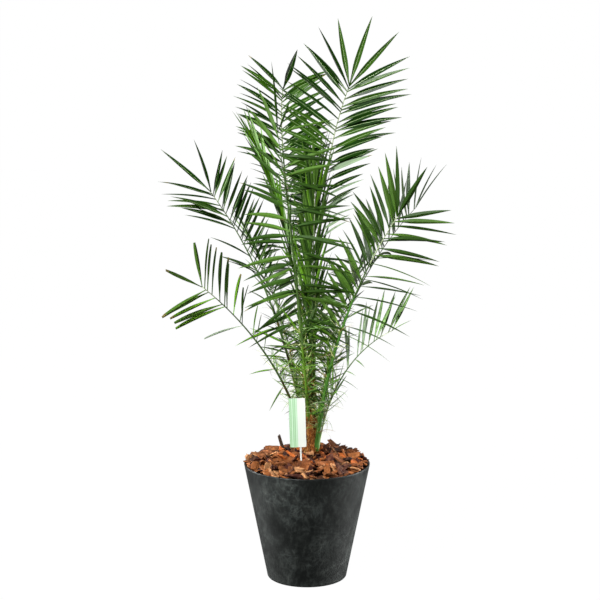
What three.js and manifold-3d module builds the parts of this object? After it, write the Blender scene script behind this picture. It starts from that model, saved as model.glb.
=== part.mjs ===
// A young feather-leaved date palm in a round tapered planter, with bark chips on the soil and a plain
// plant label. Millimetres, +Z up, the origin at the middle of the planter's flat underside. -Y is the
// side the plant is seen from.
import * as THREE from 'three';
import { mergeVertices } from 'three/addons/utils/BufferGeometryUtils.js';
import Module from 'manifold-3d';

// Driving dimensions of the planter
const potHeight = 345;
const potTopRadius = 185;
const potBaseRadius = 116;
const potWall = 5;
const potFloor = 7;
const potEdgeRounding = 8;
const potFacets = 48;
const rimBevel = 1.2;

// Fill: the root ball and soil, then a mound of bark chips
const soilTop = 314;
const moundRise = 20;
const moundShoulder = -2;
const moundPower = 1.8;
const moundDip = 9;
const chipCount = 52;
const chipLength = 42;
const chipWidth = 20;
const chipThickness = 8;
const chipEnds = [0.36, 0.56];
const chipSink = 0.6;
const chipPitch = 40;
const chipTilt = 24;
const chipReach = 168;
const chipGroup = 50;
const chipSpread = 0.5;

// Turn from one piece to the next in a natural spiral, in degrees
const spiralTurn = 137.5;

// Stem: foot, height, radii and its scales of old leaf bases
const stemX = 12;
const stemY = 30;
const stemTop = 492;
const stemLean = 3;
const stemSideShare = 0.3;
const stemRadii = [27, 24, 20, 17, 14];
const stemSides = 10;
const scaleCount = 13;
const scaleHeight = 34;
const scaleWidth = 20;
const scaleEnds = [0.32, 0.55];
const scaleThickness = 6;
const scaleSplay = 6;
const scaleStart = 0.34;
const scaleSpan = 0.52;

// Gap kept between neighbouring solids
const gap = 0.3;

// Fronds: heading and lean at the foot in degrees, arch as the lean gained up to the tip, curl as the
// power by which it is gained, sway as the heading gained, foot height and distance from the stem's
// axis, share of the rib with no leaflets, leaflet pairs and the stride in which they are made, leaflet
// length, its share at the blade's foot and the reach over which it grows to the whole, turn of the blade
// about the rib up to turnReach and at the tip, the leaflets' angle to the rib at the blade's foot and
// tip, what one side has more of it there (skew), the share by which that side is longer (uneven), how
// much the angles vary (wild), the share by which the last ones close, and the rib's half width at its
// foot. Each tip leaflet is an angle and a share of the length; each sparse stretch is a side, its start,
// its end and the share that is kept.
const fronds = [
  { name: 'frond_tall_right', heading: 50, lean: 1.6, arch: 31, curl: 2.9, sway: 0, length: 1020,
    footZ: 440, footOut: 10, bare: 0.34, pairs: 38, stride: 1, leaf: 210, foot: 0.24, reach: 0.8,
    turnLow: -26, turn: -26, low: 64, high: 68, skew: [17, -4], uneven: 0, wild: 0.8,
    close: 0.45, stem: 7.5, tips: [[4, 1.2], [28, 1.16], [-19, 1.12]],
    sparse: [[-1, 0, 0.6, 0.7], [1, 0, 0.18, 0.1], [1, 0, 0.35, 0.7]] },
  { name: 'frond_tall_left', heading: 150, lean: 4, arch: 44, curl: 2.2, sway: -66, length: 1050,
    footZ: 440, footOut: 12, bare: 0.64, pairs: 22, stride: 1, leaf: 158, foot: 0.6, reach: 0.3,
    turnLow: 0, turn: 0, low: 64, high: 58, skew: [0, 0], uneven: 0, wild: 1.3,
    close: 0, stem: 7.5, tips: [[-9, 1.2]], sparse: [] },
  { name: 'frond_front', heading: 255, lean: 17, arch: 7.5, curl: 3, sway: -4, length: 925,
    footZ: 460, footOut: 12, bare: 0.3, pairs: 25, stride: 1, leaf: 185, foot: 1, reach: 0.2,
    turnLow: -16, turn: 34, low: 125, high: 66, skew: [0, 0], uneven: 0, wild: 2.2,
    close: 0, stem: 3.8, tips: [[7, 1.3], [32, 0.95]], sparse: [[1, 0.1, 0.5, 0.85]] },
  { name: 'frond_left_upper', heading: 158, lean: 12, arch: 28, curl: 1.55, sway: 0, length: 795,
    footZ: 400, footOut: 10, bare: 0.42, pairs: 31, stride: 1, leaf: 160, foot: 0.35, reach: 0.6,
    turnLow: 42, turn: 42, low: 46, high: 52, skew: [0, 0], uneven: 0.08, wild: 0.8,
    close: 0.1, stem: 6.2, tips: [[11, 1.27], [-21, 1.15]],
    sparse: [[1, 0, 0.7, 0.28], [-1, 0, 0.3, 0.7]] },
  { name: 'frond_left_lower', heading: 224, lean: 14, arch: 38.5, curl: 0.75, sway: -6, length: 655,
    footZ: 385, footOut: 18, bare: 0.4, pairs: 17, stride: 1, leaf: 145, foot: 0.25, reach: 0.7,
    turnLow: -88, turn: -88, low: 64, high: 64, skew: [3, 3], uneven: 0, wild: 0.8,
    close: 0, stem: 5.2, tips: [[-8, 0.95], [41, 0.95]],
    sparse: [[-1, 0, 0.42, 0], [-1, 0.42, 0.72, 0.35], [1, 0, 0.5, 0.6]] },
  { name: 'frond_right_front', heading: 325, lean: 5.5, arch: 30, curl: 0.95, sway: 0, length: 773,
    footZ: 375, footOut: 20, bare: 0.42, pairs: 24, stride: 1, leaf: 176, foot: 0.8, reach: 0.2,
    turnLow: 88, turn: 88, low: 86, high: 62, skew: [6, -6], uneven: 0, wild: 1.3,
    close: 0.25, stem: 7.5, tips: [[-4, 1.05], [-36, 1.2], [-47, 1.1]],
    sparse: [[1, 0, 0.6, 0.4], [-1, 0, 0.4, 0.8], [-1, 0.4, 1.1, 0.8]] },
  { name: 'frond_right_back', heading: 32, lean: 7, arch: 44, curl: 1.1, sway: 0, length: 790,
    footZ: 390, footOut: 12, bare: 0.5, pairs: 22, stride: 2, leaf: 165, foot: 0.5, reach: 0.3,
    turnLow: 60, turn: 60, low: 60, high: 58, skew: [0, 0], uneven: 0, wild: 1.2,
    close: 0.3, stem: 6, tips: [[-20, 1], [-40, 0.92]], sparse: [[1, 0.5, 1.1, 0], [1, 0, 0.5, 0.6]] },
  { name: 'frond_right_lower', heading: 350, lean: 10, arch: 53, curl: 1.55, sway: 0, length: 447,
    footZ: 372, footOut: 20, bare: 0.4, pairs: 16, stride: 2, leaf: 160, foot: 0.5, reach: 0.4,
    turnLow: -40, turn: -40, low: 60, high: 64, skew: [-14, -19], uneven: 0, wild: 1.3,
    close: 0.1, stem: 5, tips: [[9, 0.4]],
    sparse: [[-1, 0, 0.5, 0.5], [-1, 0.5, 1.1, 0], [1, 0, 0.5, 0.5]] },
  { name: 'frond_young', heading: 152, lean: 2, arch: 24, curl: 1.5, sway: 0, length: 820,
    footZ: 450, footOut: 6, bare: 0.42, pairs: 24, stride: 2, leaf: 160, foot: 0.7, reach: 0.2,
    turnLow: 40, turn: 40, low: 11, high: 6, skew: [0, 0], uneven: 0, wild: 1,
    close: 0.3, stem: 4.5, tips: [[-4, 0.9], [4, 0.8]], sparse: [] },
  { name: 'frond_heart', heading: 10, lean: 0, arch: 2, curl: 1.4, sway: 0, length: 680,
    footZ: 460, footOut: 4, bare: 0.14, pairs: 34, stride: 2, leaf: 200, foot: 0.8, reach: 0.2,
    turnLow: 80, turn: 80, low: 16, high: 12, skew: [0, 0], uneven: 0, wild: 1,
    close: 0.3, stem: 4.5, tips: [[-5, 0.9], [5, 0.9]], sparse: [] },
  { name: 'frond_back_tall', heading: 90, lean: 10, arch: 40, curl: 1.7, sway: 0, length: 860,
    footZ: 430, footOut: 14, bare: 0.38, pairs: 26, stride: 2, leaf: 160, foot: 0.6, reach: 0.3,
    turnLow: 70, turn: 70, low: 58, high: 54, skew: [0, 0], uneven: 0, wild: 1,
    close: 0.3, stem: 7.5, tips: [[-14, 1], [14, 1]], sparse: [] },
  { name: 'frond_back_right', heading: 66, lean: 22, arch: 34, curl: 1.3, sway: 0, length: 620,
    footZ: 385, footOut: 18, bare: 0.4, pairs: 16, stride: 2, leaf: 125, foot: 0.5, reach: 0.4,
    turnLow: 35, turn: 35, low: 64, high: 60, skew: [0, 0], uneven: 0, wild: 1,
    close: 0.3, stem: 5.5, tips: [[-14, 1], [14, 1]], sparse: [[-1, 0, 0.4, 0.3], [1, 0, 0.4, 0.3]] },
  { name: 'frond_back_left', heading: 116, lean: 20, arch: 36, curl: 1.3, sway: 0, length: 680,
    footZ: 390, footOut: 18, bare: 0.4, pairs: 17, stride: 2, leaf: 150, foot: 0.5, reach: 0.4,
    turnLow: -35, turn: -35, low: 64, high: 60, skew: [0, 0], uneven: 0, wild: 1,
    close: 0.3, stem: 5.5, tips: [[-14, 1], [14, 1]], sparse: [] },
];
const ribSteps = 10;
const ribTip = 1.6;
const ribTaper = 1.3;
const ribDepthShare = 0.62;
const turnReach = 0.4;
const pairStagger = 0.2;
const bunchShare = 0.35;
const bunchTurn = 0.9;
const leafWidthShares = [0.1, 0.13];
const leafThickness = 2.4;
const leafBelly = 0.36;
const leafFold = 18;
const leafSag = 0.06;
const leafSink = 2;
const closeCurl = 22;
const spreadJitter = 13;
const foldJitter = 24;
const lengthJitter = 0.12;
const swings = [0, 8, -8, 16, -16, 24];

// Plant label: a narrow card that runs down into a flat stick
const labelX = -23.5;
const labelY = -82;
const labelWidth = 47;
const labelHeight = 145;
const labelThickness = 1.6;
const labelLean = 1.7;
const labelBottom = 413;
const stickWidth = 5;
const stickThickness = 2.4;
const stickFoot = 345;
const stickPoint = 14;
const stickLap = 20;
const stickShift = 7;

// Stump of a cut shoot that stands in the bark
const stubX = -62;
const stubY = 60;
const stubRadius = 5.5;
const stubLength = 76;
const stubFoot = 338;
const stubLean = 16;

const wasm = await Module();
wasm.setup();

const radians = THREE.MathUtils.degToRad;

// Even spread of numbers from 0 to 1 that depends only on its three whole numbers
function draw(group, item, channel) {
  let h = Math.imul(group * 7919 + item * 131 + channel * 17 + 1, 2654435761) >>> 0;
  h = Math.imul(h ^ (h >>> 15), 2246822519) >>> 0;
  h = Math.imul(h ^ (h >>> 13), 3266489917) >>> 0;
  return ((h ^ (h >>> 16)) >>> 0) / 4294967296;
}

function solidOf(geometry) {
  const bare = geometry.index ? geometry.clone() : mergeVertices(geometry);
  bare.deleteAttribute('normal');
  bare.deleteAttribute('uv');
  const merged = mergeVertices(bare, 1e-4);
  const mesh = new wasm.Mesh({
    numProp: 3,
    vertProperties: new Float32Array(merged.attributes.position.array),
    triVerts: new Uint32Array(merged.index.array),
  });
  return new wasm.Manifold(mesh);
}

function geometryOf(solid) {
  const mesh = solid.getMesh();
  const geometry = new THREE.BufferGeometry();
  geometry.setAttribute('position', new THREE.BufferAttribute(mesh.vertProperties, 3));
  geometry.setIndex(new THREE.BufferAttribute(mesh.triVerts, 1));
  geometry.computeVertexNormals();
  return geometry;
}

// Joins a list of solids two by two
function joined(solids) {
  let list = solids;
  while (list.length > 1) {
    const next = [];
    for (let i = 0; i < list.length; i += 2) {
      next.push(i + 1 < list.length ? list[i].add(list[i + 1]) : list[i]);
    }
    list = next;
  }
  return list[0];
}

// The largest separate body of a solid
function mainBody(solid) {
  const bodies = solid.decompose();
  return bodies.reduce((a, b) => (b.volume() > a.volume() ? b : a));
}

// Closed skin over rings of points, all with the same number of points, with a flat cap at each end
function loft(rings) {
  const count = rings[0].length;
  const points = [];
  const faces = [];
  for (const ring of rings) {
    for (const p of ring) points.push(p.x, p.y, p.z);
  }
  for (let i = 0; i + 1 < rings.length; i++) {
    for (let j = 0; j < count; j++) {
      const a = i * count + j;
      const b = i * count + ((j + 1) % count);
      faces.push(a, b, b + count, a, b + count, a + count);
    }
  }
  const last = (rings.length - 1) * count;
  for (let j = 1; j + 1 < count; j++) {
    faces.push(0, j + 1, j);
    faces.push(last, last + j, last + j + 1);
  }
  const geometry = new THREE.BufferGeometry();
  geometry.setAttribute('position', new THREE.BufferAttribute(new Float32Array(points), 3));
  geometry.setIndex(faces);
  return geometry;
}

function lathe(profile) {
  const points = profile.map(([r, z]) => new THREE.Vector2(r, z));
  const geometry = new THREE.LatheGeometry(points, potFacets);
  geometry.rotateX(Math.PI / 2);
  return geometry;
}

function finish(color, roughness) {
  return new THREE.MeshStandardMaterial({ color, roughness, metalness: 0 });
}

const part = new THREE.Group();

function place(name, geometry, material) {
  const mesh = new THREE.Mesh(geometry, material);
  mesh.name = name;
  part.add(mesh);
}

// Planter
const potSlope = (potTopRadius - potBaseRadius) / potHeight;
const insideRadius = (z) => potBaseRadius - potWall + potSlope * z;

function potProfile() {
  const profile = [[0, 0]];
  const arcSteps = 4;
  const centre = potBaseRadius + potSlope * potEdgeRounding - potEdgeRounding;
  for (let i = 0; i <= arcSteps; i++) {
    const a = (i / arcSteps) * Math.PI / 2;
    profile.push([centre + potEdgeRounding * Math.sin(a), potEdgeRounding * (1 - Math.cos(a))]);
  }
  profile.push([potTopRadius - potSlope * rimBevel, potHeight - rimBevel]);
  profile.push([potTopRadius - rimBevel, potHeight]);
  profile.push([insideRadius(potHeight) + rimBevel / 2, potHeight]);
  profile.push([insideRadius(potHeight - rimBevel), potHeight - rimBevel]);
  profile.push([insideRadius(potFloor), potFloor]);
  profile.push([0, potFloor]);
  return profile;
}
const pot = solidOf(lathe(potProfile()));
place('pot', geometryOf(pot), finish(0x2b2f2e, 0.55));

// Soil
const soilBottom = potFloor + gap;
place('soil', lathe([
  [0, soilBottom],
  [insideRadius(soilBottom) - gap, soilBottom],
  [insideRadius(soilTop) - gap, soilTop],
  [0, soilTop],
]), finish(0x3a2a1f, 0.95));

// Stem, a little flared at its foot, with a spiral of old leaf bases
function stemRadius(h) {
  const x = h * (stemRadii.length - 1);
  const i = Math.min(stemRadii.length - 2, Math.floor(x));
  return THREE.MathUtils.lerp(stemRadii[i], stemRadii[i + 1], x - i);
}

function stemCentre(z) {
  const lean = Math.tan(radians(stemLean)) * (z - soilTop);
  return new THREE.Vector3(stemX - lean * stemSideShare, stemY + lean, z);
}

function makeStem(grow) {
  const foot = soilTop + gap - grow;
  const top = stemTop + grow;
  const rings = [];
  const levels = 4;
  for (let i = 0; i <= levels; i++) {
    const h = i / levels;
    const centre = stemCentre(THREE.MathUtils.lerp(foot, top, h));
    const radius = stemRadius(h) + grow;
    const ring = [];
    for (let j = 0; j < stemSides; j++) {
      const a = (j / stemSides) * Math.PI * 2;
      const spoke = new THREE.Vector3(Math.cos(a), Math.sin(a), 0);
      ring.push(centre.clone().addScaledVector(spoke, radius));
    }
    rings.push(ring);
  }
  const solids = [solidOf(loft(rings))];
  for (let k = 0; k < scaleCount; k++) {
    const h = scaleStart + scaleSpan * (k / scaleCount);
    const centre = stemCentre(THREE.MathUtils.lerp(foot, top, h));
    const scale = new THREE.CylinderGeometry(
      scaleWidth * scaleEnds[0] + grow, scaleWidth * scaleEnds[1] + grow, scaleHeight + grow * 2, 4);
    scale.rotateX(Math.PI / 2);
    scale.scale((scaleThickness + grow) / scaleWidth, 1, 1);
    scale.rotateY(radians(scaleSplay));
    scale.translate(stemRadius(h) - 1, 0, 0);
    scale.rotateZ(radians(spiralTurn * k));
    scale.translate(centre.x, centre.y, centre.z);
    solids.push(solidOf(scale));
  }
  return mainBody(joined(solids));
}
const stem = makeStem(0);
const stemClear = makeStem(gap);
place('trunk', geometryOf(stem), finish(0x6b4a2c, 0.9));

// Label and stump
function makeLabel(grow) {
  const card = new THREE.BoxGeometry(
    labelWidth + grow * 2, labelThickness + grow * 2, labelHeight + grow * 2);
  card.translate(0, 0, labelBottom + labelHeight / 2);
  const length = labelBottom + stickLap - stickFoot;
  const half = stickWidth / 2 + grow;
  const point = new THREE.Shape([
    new THREE.Vector2(-half, length),
    new THREE.Vector2(-half, stickPoint),
    new THREE.Vector2(0, -grow),
    new THREE.Vector2(half, stickPoint),
    new THREE.Vector2(half, length),
  ]);
  const stick = new THREE.ExtrudeGeometry(point, { depth: stickThickness + grow * 2, bevelEnabled: false });
  stick.translate(0, 0, -stickThickness / 2 - grow);
  stick.rotateX(Math.PI / 2);
  stick.translate(stickShift, 0, stickFoot);
  const both = [card, stick].map((piece) => {
    piece.translate(0, 0, -stickFoot);
    piece.rotateY(radians(-labelLean));
    piece.translate(labelX, labelY, stickFoot);
    return solidOf(piece);
  });
  return both[0].add(both[1]);
}
const label = makeLabel(0);
const labelClear = makeLabel(gap);
place('plant_label', geometryOf(label), finish(0xdfeee0, 0.35));

function makeStub(grow) {
  const stub = new THREE.CylinderGeometry(
    stubRadius + grow, stubRadius + 1 + grow, stubLength + grow * 2, 9);
  stub.rotateX(Math.PI / 2);
  stub.translate(0, 0, stubLength / 2);
  stub.rotateY(-radians(stubLean));
  stub.translate(stubX, stubY, stubFoot);
  return solidOf(stub);
}
const stub = makeStub(0);
const stubClear = makeStub(gap);
place('cut_stub', geometryOf(stub), finish(0x2c241d, 0.85));

// Fronds. The rib is followed by its heading and lean; side and up span the blade at each place.
function frondFrame(frond, t) {
  const lean = radians(frond.lean + frond.arch * t ** frond.curl);
  const heading = radians(frond.heading + frond.sway * t);
  const along = new THREE.Vector3(
    Math.sin(lean) * Math.cos(heading), Math.sin(lean) * Math.sin(heading), Math.cos(lean));
  const side = new THREE.Vector3(-Math.sin(heading), Math.cos(heading), 0);
  const up = along.clone().cross(side);
  const late = Math.max(0, (t - turnReach) / (1 - turnReach));
  const turn = radians(frond.turnLow * Math.min(1, t / turnReach) + (frond.turn - frond.turnLow) * late);
  const turnedUp = up.clone().multiplyScalar(Math.cos(turn)).addScaledVector(side, Math.sin(turn));
  const turnedSide = side.clone().multiplyScalar(Math.cos(turn)).addScaledVector(up, -Math.sin(turn));
  return { along, side: turnedSide, up: turnedUp };
}

// Places along the rib, found by steps from its foot
const ribFineSteps = 56;
function ribPlaces(frond) {
  const heading = radians(frond.heading);
  const foot = stemCentre(frond.footZ);
  const place = new THREE.Vector3(
    foot.x + frond.footOut * Math.cos(heading), foot.y + frond.footOut * Math.sin(heading), frond.footZ);
  const places = [place.clone()];
  for (let i = 0; i < ribFineSteps; i++) {
    place.addScaledVector(frondFrame(frond, (i + 0.5) / ribFineSteps).along, frond.length / ribFineSteps);
    places.push(place.clone());
  }
  return places;
}

function placeAt(places, t) {
  const x = t * ribFineSteps;
  const i = Math.min(ribFineSteps - 1, Math.floor(x));
  return places[i].clone().lerp(places[i + 1], x - i);
}

const ribHalfWidth = (frond, t) => ribTip + (frond.stem - ribTip) * (1 - t) ** ribTaper;

function makeRib(frond, places, grow) {
  const rings = [];
  for (let i = 0; i <= ribSteps; i++) {
    const t = i / ribSteps;
    const { side, up } = frondFrame(frond, t);
    const centre = placeAt(places, t);
    const wide = ribHalfWidth(frond, t) + grow;
    const deep = ribHalfWidth(frond, t) * ribDepthShare + grow;
    const ring = [[1, 0], [0, 1], [-1, 0], [0, -1]].map(([u, v]) =>
      centre.clone().addScaledVector(side, u * wide).addScaledVector(up, v * deep));
    rings.push(ring);
  }
  return solidOf(loft(rings));
}

// Bark: a low mound with chips that stand out of it, cut clear of what passes through it
function moundHeight(r) {
  const share = Math.min(1, r / insideRadius(potHeight));
  return potHeight + moundShoulder + moundRise * (1 - share ** moundPower);
}

function makeBark() {
  const profile = [[0, soilTop + gap], [insideRadius(soilTop + gap) - gap, soilTop + gap]];
  const edge = insideRadius(potHeight - moundDip) - gap;
  profile.push([edge, potHeight - moundDip]);
  const steps = 6;
  for (let i = 1; i <= steps; i++) {
    const r = edge * (1 - i / steps);
    profile.push([r, moundHeight(r) - chipThickness * chipSink]);
  }
  const solids = [solidOf(lathe(profile))];
  for (let k = 0; k < chipCount; k++) {
    const r = chipReach * Math.sqrt((k + 0.5) / chipCount);
    const a = radians(spiralTurn * k);
    const size = 1 + chipSpread * (draw(chipGroup, k, 0) - 0.5);
    const chip = new THREE.CylinderGeometry(
      chipWidth * chipEnds[0] * size, chipWidth * chipEnds[1] * size, chipLength * size, 4);
    chip.rotateY(Math.PI / 4);
    chip.scale(1, 1, chipThickness / chipWidth);
    chip.rotateX(radians(chipPitch * (draw(chipGroup, k, 1) - 0.5)));
    chip.rotateZ(radians(360 * draw(chipGroup, k, 2)));
    chip.rotateX(radians(chipTilt * (draw(chipGroup, k, 3) - 0.5)));
    chip.translate(r * Math.cos(a), r * Math.sin(a), moundHeight(r));
    const solid = solidOf(chip);
    if (solid.intersect(pot).volume() === 0) solids.push(solid);
  }
  const passing = [stemClear, labelClear, stubClear, ...fronds.map((f) => makeRib(f, ribPlaces(f), gap))];
  return mainBody(passing.reduce((bark, piece) => bark.subtract(piece), joined(solids)));
}
const bark = makeBark();
place('bark_mulch', geometryOf(bark), finish(0x8a4f2a, 0.9));

// A leaf is a long diamond of eight faces, with its root sunk behind the rib
function makeLeaf(root, direction, across, length, width, sink, grow) {
  const thick = direction.clone().cross(across).normalize();
  const belly = root.clone().addScaledVector(direction, length * leafBelly);
  const half = width / 2 + grow;
  const back = root.clone().addScaledVector(direction, -sink - grow);
  const tip = root.clone().addScaledVector(direction, length + grow);
  tip.z -= leafSag * length;
  const ring = [[half, 0], [0, leafThickness / 2 + grow], [-half, 0], [0, -leafThickness / 2 - grow]].map(
    ([u, v]) => belly.clone().addScaledVector(across, u).addScaledVector(thick, v));
  const points = [back, ...ring, tip].flatMap((p) => [p.x, p.y, p.z]);
  const geometry = new THREE.BufferGeometry();
  geometry.setAttribute('position', new THREE.BufferAttribute(new Float32Array(points), 3));
  geometry.setIndex([0, 2, 1, 0, 3, 2, 0, 4, 3, 0, 1, 4, 5, 1, 2, 5, 2, 3, 5, 3, 4, 5, 4, 1]);
  return solidOf(geometry);
}

// Share of the leaflets that one side of a frond has kept there
function keptShare(frond, hand, u) {
  const stretch = frond.sparse.find(([side, start, end]) => side === hand && start <= u && u < end);
  return stretch ? stretch[3] : 1;
}

// Every leaf of a frond as its place on the rib, side, angle to the rib, fold and length
function leafPlan(frond, number) {
  const plan = [];
  for (let k = 0; k < frond.pairs; k += frond.stride) {
    const u = (k + 0.5) / frond.pairs;
    for (const hand of [-1, 1]) {
      const item = 2 * k + (hand + 1) / 2;
      if (draw(number, item, 8) > keptShare(frond, hand, u)) continue;
      const shift = pairStagger * (hand + 1) + bunchShare * Math.sin(bunchTurn * item);
      const t = frond.bare + (1 - frond.bare) * (u + shift / frond.pairs);
      const open = frond.low + (frond.high - frond.low) * u;
      const closed = open * (1 - frond.close * u ** closeCurl);
      const skew = hand * (frond.skew[0] + (frond.skew[1] - frond.skew[0]) * u);
      const spread = closed + skew + spreadJitter * frond.wild * (draw(number, item, 0) - 0.5);
      const fold = leafFold + foldJitter * (draw(number, item, 1) - 0.5);
      const grown = frond.foot + (1 - frond.foot) * Math.min(1, u / frond.reach);
      const jittered = grown * (1 + lengthJitter * (draw(number, item, 2) - 0.5));
      const length = frond.leaf * jittered * (1 + frond.uneven * hand);
      plan.push({ t: Math.min(1, t), hand, spread, fold, length });
    }
  }
  for (const [angle, share] of frond.tips) {
    const length = frond.leaf * share;
    plan.push({ t: 1, hand: Math.sign(angle), spread: Math.abs(angle), fold: 0, length });
  }
  return plan;
}

const obstacle = (solid) => ({ solid, box: solid.boundingBox() });
const boxesMeet = (a, b) => [0, 1, 2].every((i) => a.min[i] <= b.max[i] && b.min[i] <= a.max[i]);

function isClear(solid, others) {
  const box = solid.boundingBox();
  return others.every((other) => !boxesMeet(box, other.box) || solid.intersect(other.solid).volume() === 0);
}

// The leaf in the first of its swings that clears the rest of the plant, or nothing
function fitLeaf(frond, places, leaf, others) {
  const { along, side, up } = frondFrame(frond, leaf.t);
  const root = placeAt(places, leaf.t);
  const fold = radians(leaf.fold);
  const width = leaf.length * leafWidthShares[frond.stride - 1];
  const sink = ribHalfWidth(frond, leaf.t) + leafSink;
  const outward = side.clone().multiplyScalar(leaf.hand * Math.cos(fold));
  outward.addScaledVector(up, Math.sin(fold));
  for (const swing of swings) {
    const spread = radians(leaf.spread + swing);
    const direction = along.clone().multiplyScalar(Math.cos(spread));
    direction.addScaledVector(outward, Math.sin(spread));
    const across = along.clone().addScaledVector(direction, -along.dot(direction)).normalize();
    if (isClear(makeLeaf(root, direction, across, leaf.length, width, sink, gap), others)) {
      return makeLeaf(root, direction, across, leaf.length, width, sink, 0);
    }
  }
  return null;
}

const places = fronds.map(ribPlaces);
const ribsClear = fronds.map((frond, i) => makeRib(frond, places[i], gap));
const fixed = [stemClear, labelClear, stubClear, bark].map(obstacle);
const leaves = [];

fronds.forEach((frond, i) => {
  const cut = [stemClear, ...ribsClear.slice(0, i)];
  const rib = mainBody(cut.reduce((solid, other) => solid.subtract(other), makeRib(frond, places[i], 0)));
  const others = [...fixed, ...ribsClear.filter((_, j) => j !== i).map(obstacle), ...leaves];
  const own = leafPlan(frond, i).map((leaf) => fitLeaf(frond, places[i], leaf, others)).filter(Boolean);
  leaves.push(...own.map(obstacle));
  place(frond.name, geometryOf(mainBody(joined([rib, ...own]))), finish(0x2f5a2a, 0.45));
});

export default part;
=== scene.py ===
import math

import bpy
import numpy as np
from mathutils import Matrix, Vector


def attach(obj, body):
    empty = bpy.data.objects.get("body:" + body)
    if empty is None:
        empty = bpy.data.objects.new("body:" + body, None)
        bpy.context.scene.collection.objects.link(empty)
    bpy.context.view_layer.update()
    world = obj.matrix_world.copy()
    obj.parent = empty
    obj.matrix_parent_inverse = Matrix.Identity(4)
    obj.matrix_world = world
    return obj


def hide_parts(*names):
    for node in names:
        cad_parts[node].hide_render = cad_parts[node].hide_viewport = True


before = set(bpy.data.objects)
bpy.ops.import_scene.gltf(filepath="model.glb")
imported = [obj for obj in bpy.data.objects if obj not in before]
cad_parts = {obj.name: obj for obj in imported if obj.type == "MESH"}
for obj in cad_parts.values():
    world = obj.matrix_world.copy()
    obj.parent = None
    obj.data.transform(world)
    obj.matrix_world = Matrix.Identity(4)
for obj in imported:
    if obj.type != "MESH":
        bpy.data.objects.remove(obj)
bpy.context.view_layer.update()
print("frame loaded")

# A potted young date palm: camera and light, finishes, planter, bark, label, stem, then the fronds.
# Metres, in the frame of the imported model: +Z up, -Y towards the viewer.


# Camera, light and floor

shot = {
    "place": (-0.0205, -5.15, 1.75), "pitchDown": 10.134, "lens": 108.66, "sensor": 36.0,
    "skyStrength": 0.06, "coneBlur": 0.6, "floorHalf": 12.0, "domeRadius": 11.5, "domeAround": 48,
    "domeLevels": 20, "domeFoot": -4, "domeSpan": 92, "domeTop": 0.02,
}
lamps = {
    "keyLeft": {"place": (-2.6, -3.2, 3.4), "aim": (0.0, 0.0, 0.8), "size": 0.8, "watts": 590},
    "fillRight": {"place": (3.0, -2.2, 2.2), "aim": (0.0, 0.0, 0.8), "size": 1.8, "watts": 32},
    "backRight": {"place": (2.2, 2.6, 2.6), "aim": (0.0, 0.0, 0.9), "size": 1.6, "watts": 62},
    "backLeft": {"place": (-2.4, 2.4, 2.0), "aim": (0.0, 0.0, 0.9), "size": 1.6, "watts": 45},
    "potLeft": {"place": (-2.6, 0.5, 0.3), "aim": (0.0, 0.0, 0.15), "size": 0.3, "watts": 1200, "cone": 12},
    "stemFront": {"place": (-0.7, -2.4, 0.9), "aim": (0.02, 0, 0.72), "size": 0.3, "watts": 230, "cone": 14},
    "potRight": {"place": (2.6, 0.3, 0.3), "aim": (0.0, 0.0, 0.15), "size": 0.3, "watts": 1650, "cone": 12},
}


def linked(name, data):
    made = bpy.data.objects.new(name, data)
    bpy.context.scene.collection.objects.link(made)
    return made


def addCamera():
    cameraData = bpy.data.cameras.new("photoCamera")
    cameraData.lens = shot["lens"]
    cameraData.sensor_width = shot["sensor"]
    camera = linked("photoCamera", cameraData)
    camera.location = shot["place"]
    camera.rotation_euler = (math.radians(90 - shot["pitchDown"]), 0, 0)
    bpy.context.scene.camera = camera


def addLamp(name, settings):
    if "cone" in settings:
        lampData = bpy.data.lights.new(name, "SPOT")
        lampData.spot_size = math.radians(settings["cone"])
        lampData.spot_blend = shot["coneBlur"]
        lampData.shadow_soft_size = settings["size"]
    else:
        lampData = bpy.data.lights.new(name, "AREA")
        lampData.size = settings["size"]
    lampData.energy = settings["watts"]
    lamp = linked(name, lampData)
    lamp.location = settings["place"]
    aim = Vector(settings["aim"]) - Vector(settings["place"])
    lamp.rotation_euler = aim.to_track_quat("-Z", "Y").to_euler()


def addSky():
    world = bpy.data.worlds.new("paleStudio")
    world.use_nodes = True
    background = world.node_tree.nodes["Background"]
    background.inputs["Color"].default_value = (1, 1, 1, 1)
    background.inputs["Strength"].default_value = shot["skyStrength"]
    bpy.context.scene.world = world


# Shader helpers


def colour(code):
    channels = [int(code[i:i + 2], 16) / 255 for i in (1, 3, 5)]
    return tuple(c / 12.92 if c <= 0.04045 else ((c + 0.055) / 1.055) ** 2.4 for c in channels) + (1.0,)


class Wire:
    # one socket of a node tree; reckoning with it adds Math nodes
    def __init__(self, finish, socket):
        self.finish = finish
        self.socket = socket

    def sum(self, operation, first, second):
        return self.finish.node("ShaderNodeMath", {"operation": operation}, {0: first, 1: second})

    def __add__(self, other):
        return self.sum("ADD", self, other)

    def __radd__(self, other):
        return self.sum("ADD", other, self)

    def __sub__(self, other):
        return self.sum("SUBTRACT", self, other)

    def __rsub__(self, other):
        return self.sum("SUBTRACT", other, self)

    def __mul__(self, other):
        return self.sum("MULTIPLY", self, other)

    def __rmul__(self, other):
        return self.sum("MULTIPLY", other, self)


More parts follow.
